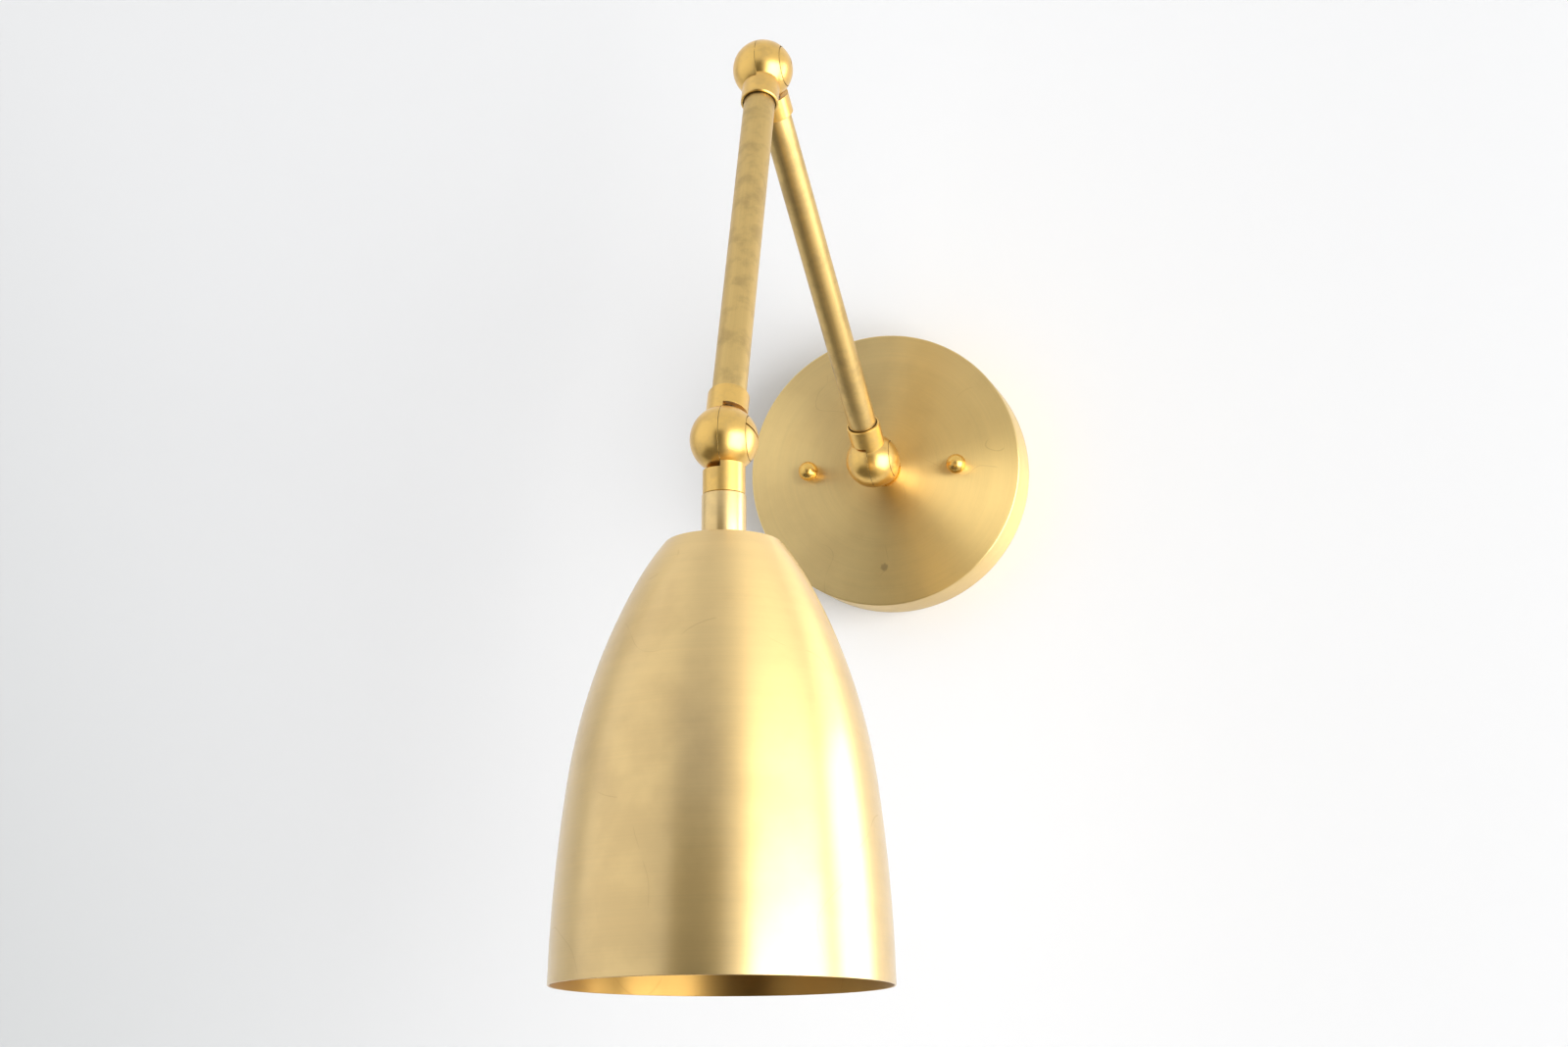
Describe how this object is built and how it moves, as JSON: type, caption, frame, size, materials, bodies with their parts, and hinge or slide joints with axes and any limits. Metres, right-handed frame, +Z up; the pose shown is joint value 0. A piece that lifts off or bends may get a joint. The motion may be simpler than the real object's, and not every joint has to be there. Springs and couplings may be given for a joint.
{
  "type": "wall sconce",
  "caption": "Jointed wall sconce: round canopy, two straight arms joined by ball swivels, and a hanging bell-shaped metal shade with a lamp holder.",
  "frame": {"origin": "centre of the canopy's back, on the wall's face, midway between the two slots for the wall box screws", "axes": "+Y into the wall, +Z up, +X to the right along the wall; the arms reach out along -Y"},
  "size_m": [0.1296, 0.3609, 0.3778],
  "materials": {
    "canopy_brass": "satin, brushed in circles",
    "earth_screw_green": "green",
    "fastener_brass": "polished",
    "friction_washer": "natural",
    "holder_cap_brass": "satin",
    "holder_contacts": "bright",
    "holder_phenolic": "smooth",
    "lead_insulation": "matt",
    "nipple_steel": "plated",
    "plated_steel": "zinc plated",
    "shade_brass": "satin, spun, brushed round the axis",
    "swivel_brass": "polished satin",
    "tube_brass": "satin, dulled"
  },
  "bodies": {
    "wall_mount": {"base_lock_nut": "plated_steel", "base_lock_washer": "plated_steel", "base_nipple": "nipple_steel", "base_seat_washer": "fastener_brass", "canopy": "canopy_brass", "canopy_ball_nuts": "fastener_brass", "canopy_studs": "plated_steel", "earth_screw": "earth_screw_green", "mounting_strap": "plated_steel", "stud_lock_nuts": "plated_steel", "supply_leads": "lead_insulation", "wall_swivel_fixed_half": "swivel_brass", "wall_swivel_friction_washer": "friction_washer", "wall_swivel_pivot_screw": "swivel_brass", "wall_swivel_spring_washer": "plated_steel"},
    "lower_arm": {"elbow_swivel_fixed_half": "swivel_brass", "elbow_swivel_friction_washer": "friction_washer", "elbow_swivel_pivot_screw": "swivel_brass", "elbow_swivel_spring_washer": "plated_steel", "lower_arm_far_nipple": "nipple_steel", "lower_arm_leads": "lead_insulation", "lower_arm_near_nipple": "nipple_steel", "lower_arm_tube": "tube_brass", "wall_swivel_moving_half": "swivel_brass"},
    "upper_arm": {"elbow_swivel_moving_half": "swivel_brass", "shade_swivel_fixed_half": "swivel_brass", "shade_swivel_friction_washer": "friction_washer", "shade_swivel_pivot_screw": "swivel_brass", "shade_swivel_spring_washer": "plated_steel", "upper_arm_far_nipple": "nipple_steel", "upper_arm_leads": "lead_insulation", "upper_arm_near_nipple": "nipple_steel", "upper_arm_tube": "tube_brass"},
    "shade_head": {"lamp_holder_body": "holder_phenolic", "lamp_holder_cap": "holder_cap_brass", "lamp_holder_centre_contact": "holder_contacts", "lamp_holder_leads": "lead_insulation", "lamp_holder_screw_shell": "holder_contacts", "lamp_holder_set_screw": "fastener_brass", "lamp_holder_terminal_screws": "fastener_brass", "shade": "shade_brass", "shade_coupling": "swivel_brass", "shade_lock_nut": "plated_steel", "shade_nipple": "nipple_steel", "shade_swivel_moving_half": "swivel_brass", "shade_washer": "fastener_brass"}
  },
  "joints": [
    {"name": "wall_swivel", "type": "hinge", "parent": "wall_mount", "child": "lower_arm", "pos_m": [0, -0.0468, 0], "axis": [-0.9969, 0, -0.079], "range_deg": [-43.35, 46.65]},
    {"name": "elbow_swivel", "type": "hinge", "parent": "lower_arm", "child": "upper_arm", "pos_m": [-0.0107, -0.19034, 0.13508], "axis": [-0.9969, 0, -0.079], "range_deg": [0, 104.35]},
    {"name": "shade_swivel", "type": "hinge", "parent": "upper_arm", "child": "shade_head", "pos_m": [0.00293, -0.28605, -0.03703], "axis": [-0.994, -0.1081, -0.0186], "range_deg": [-80.45, 128.25]}
  ]
}
